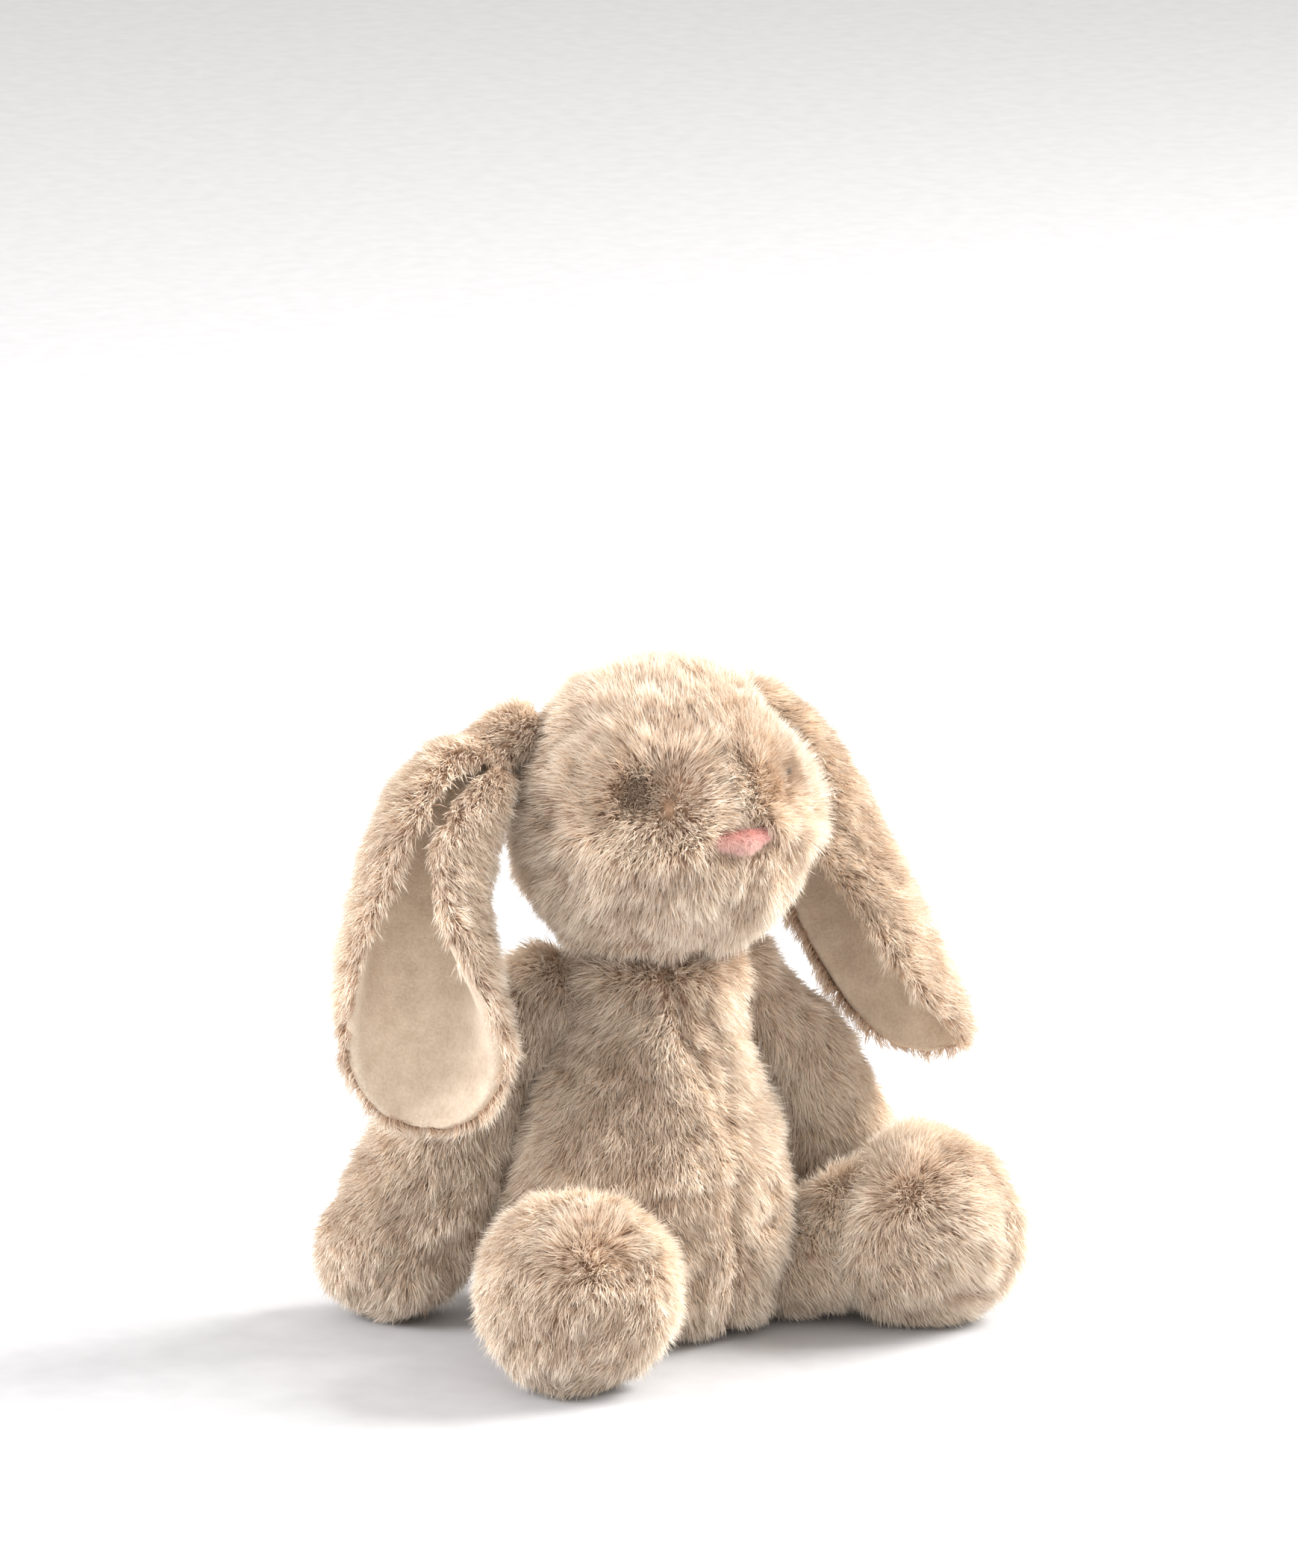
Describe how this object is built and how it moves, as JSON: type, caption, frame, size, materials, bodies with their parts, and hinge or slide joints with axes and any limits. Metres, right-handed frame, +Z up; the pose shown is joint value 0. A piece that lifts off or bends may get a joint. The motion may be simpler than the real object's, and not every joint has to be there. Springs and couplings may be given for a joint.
{
  "type": "interactive plush rabbit",
  "caption": "Sitting long-eared plush rabbit with a battery sound box, a turning head, motor-driven ears, press buttons in the feet and swinging limbs.",
  "frame": {"origin": "middle of the flat seat, on the surface that the toy sits on", "axes": "+Z up, the face looks along -Y, the toy's right side is at -X; -Z is the seat's outward normal"},
  "size_m": [0.2783, 0.1945, 0.273],
  "materials": {
    "plush": "matte",
    "ear_velour": "matte",
    "nose_pink": "matte",
    "eye_bead": "gloss",
    "pellet_bag": "matte",
    "box_plastic": "matte",
    "gear_plastic": "satin",
    "frame_plastic": "matte",
    "dark_plastic": "matte",
    "steel": "satin",
    "board_green": "satin",
    "cell_label": "gloss",
    "hook_tape": "matte"
  },
  "bodies": {
    "torso": {"torso_plush": "plush", "bean_pouch": "pellet_bag", "tail_plush": "plush", "sound_box_front": "box_plastic", "sound_box_rear": "box_plastic", "case_screws": "steel", "speaker_frame": "dark_plastic", "speaker_magnet": "steel", "circuit_board": "board_green", "board_parts": "dark_plastic", "batteries": "cell_label", "battery_springs": "steel", "battery_plates": "steel", "power_switch_body": "dark_plastic", "neck_post": "frame_plastic", "neck_ring": "steel"},
    "flap": {"back_flap": "plush", "flap_fastener": "hook_tape"},
    "door": {"battery_door": "box_plastic", "battery_door_screw": "steel"},
    "switch_knob": {"power_switch_knob": "dark_plastic"},
    "head": {"head_plush": "plush", "nose": "nose_pink", "eye_right": "eye_bead", "eye_left": "eye_bead", "neck_bush": "gear_plastic", "skull_frame": "frame_plastic", "gear_housing_inner": "frame_plastic", "gear_housing_outer": "frame_plastic", "ear_motor": "steel", "compound_pin": "steel"},
    "ears": {"ear_shaft": "steel", "ear_shaft_gear": "gear_plastic", "ear_armature_right": "gear_plastic", "ear_armature_left": "gear_plastic", "ear_plush_right": "plush", "ear_plush_left": "plush", "ear_lining_right": "ear_velour", "ear_lining_left": "ear_velour"},
    "compound": {"compound_gear": "gear_plastic"},
    "motor_rotor": {"motor_pinion": "gear_plastic", "motor_shaft": "steel"},
    "arm_right": {"arm_plush_right": "plush"},
    "leg_right": {"leg_plush_right": "plush", "foot_button_housing_right": "box_plastic"},
    "button_right": {"foot_button_right": "dark_plastic"},
    "arm_left": {"arm_plush_left": "plush"},
    "leg_left": {"leg_plush_left": "plush", "foot_button_housing_left": "box_plastic"},
    "button_left": {"foot_button_left": "dark_plastic"}
  },
  "joints": [
    {"name": "neck_turn", "type": "hinge", "parent": "torso", "child": "head", "pos_m": [0, 0, 0.16], "axis": [0, 0, 1], "range_deg": [-4, 25]},
    {"name": "ear_swing", "type": "hinge", "parent": "head", "child": "ears", "pos_m": [0, 0.022, 0.246], "axis": [-1, 0, 0], "range_deg": [0, 60]},
    {"name": "compound_spin", "type": "hinge", "parent": "head", "child": "compound", "pos_m": [0, 0.00842, 0.23242], "axis": [-1, 0, 0], "range_deg": [-181, 1]},
    {"name": "motor_spin", "type": "hinge", "parent": "head", "child": "motor_rotor", "pos_m": [0, -0.00736, 0.22668], "axis": [-1, 0, 0], "range_deg": [-1, 451]},
    {"name": "flap_hinge", "type": "hinge", "parent": "torso", "child": "flap", "pos_m": [0, 0.0525, 0.0995], "axis": [1, 0, 0], "range_deg": [0, 100]},
    {"name": "battery_door_slide", "type": "slide", "parent": "torso", "child": "door", "axis": [0, 0, -1], "range_m": [0, 0.008]},
    {"name": "power_switch", "type": "slide", "parent": "torso", "child": "switch_knob", "axis": [1, 0, 0], "range_m": [0, 0.004]},
    {"name": "arm_right_swing", "type": "hinge", "parent": "torso", "child": "arm_right", "pos_m": [-0.0365, 0.0164, 0.15], "axis": [0.866, 0.5, 0], "range_deg": [0, 30]},
    {"name": "arm_left_swing", "type": "hinge", "parent": "torso", "child": "arm_left", "pos_m": [0.0393, 0.0073, 0.15], "axis": [0.8, -0.6, 0], "range_deg": [0, 22]},
    {"name": "leg_right_lift", "type": "hinge", "parent": "torso", "child": "leg_right", "pos_m": [-0.05533, -0.04449, 0.026], "axis": [-0.6266, 0.7793, 0], "range_deg": [0, 15]},
    {"name": "foot_button_right_press", "type": "slide", "parent": "leg_right", "child": "button_right", "axis": [0.7793, 0.6266, 0], "range_m": [0, 0.002], "stiffness_N_per_m": 300},
    {"name": "leg_left_lift", "type": "hinge", "parent": "torso", "child": "leg_left", "pos_m": [0.05533, -0.04449, 0.026], "axis": [-0.6266, -0.7793, 0], "range_deg": [0, 15]},
    {"name": "foot_button_left_press", "type": "slide", "parent": "leg_left", "child": "button_left", "axis": [-0.7793, 0.6266, 0], "range_m": [0, 0.002], "stiffness_N_per_m": 300}
  ],
  "couplings": [
    {"joint": "compound_spin", "follows": "ear_swing", "ratio": -3},
    {"joint": "motor_spin", "follows": "ear_swing", "ratio": 7.5}
  ]
}
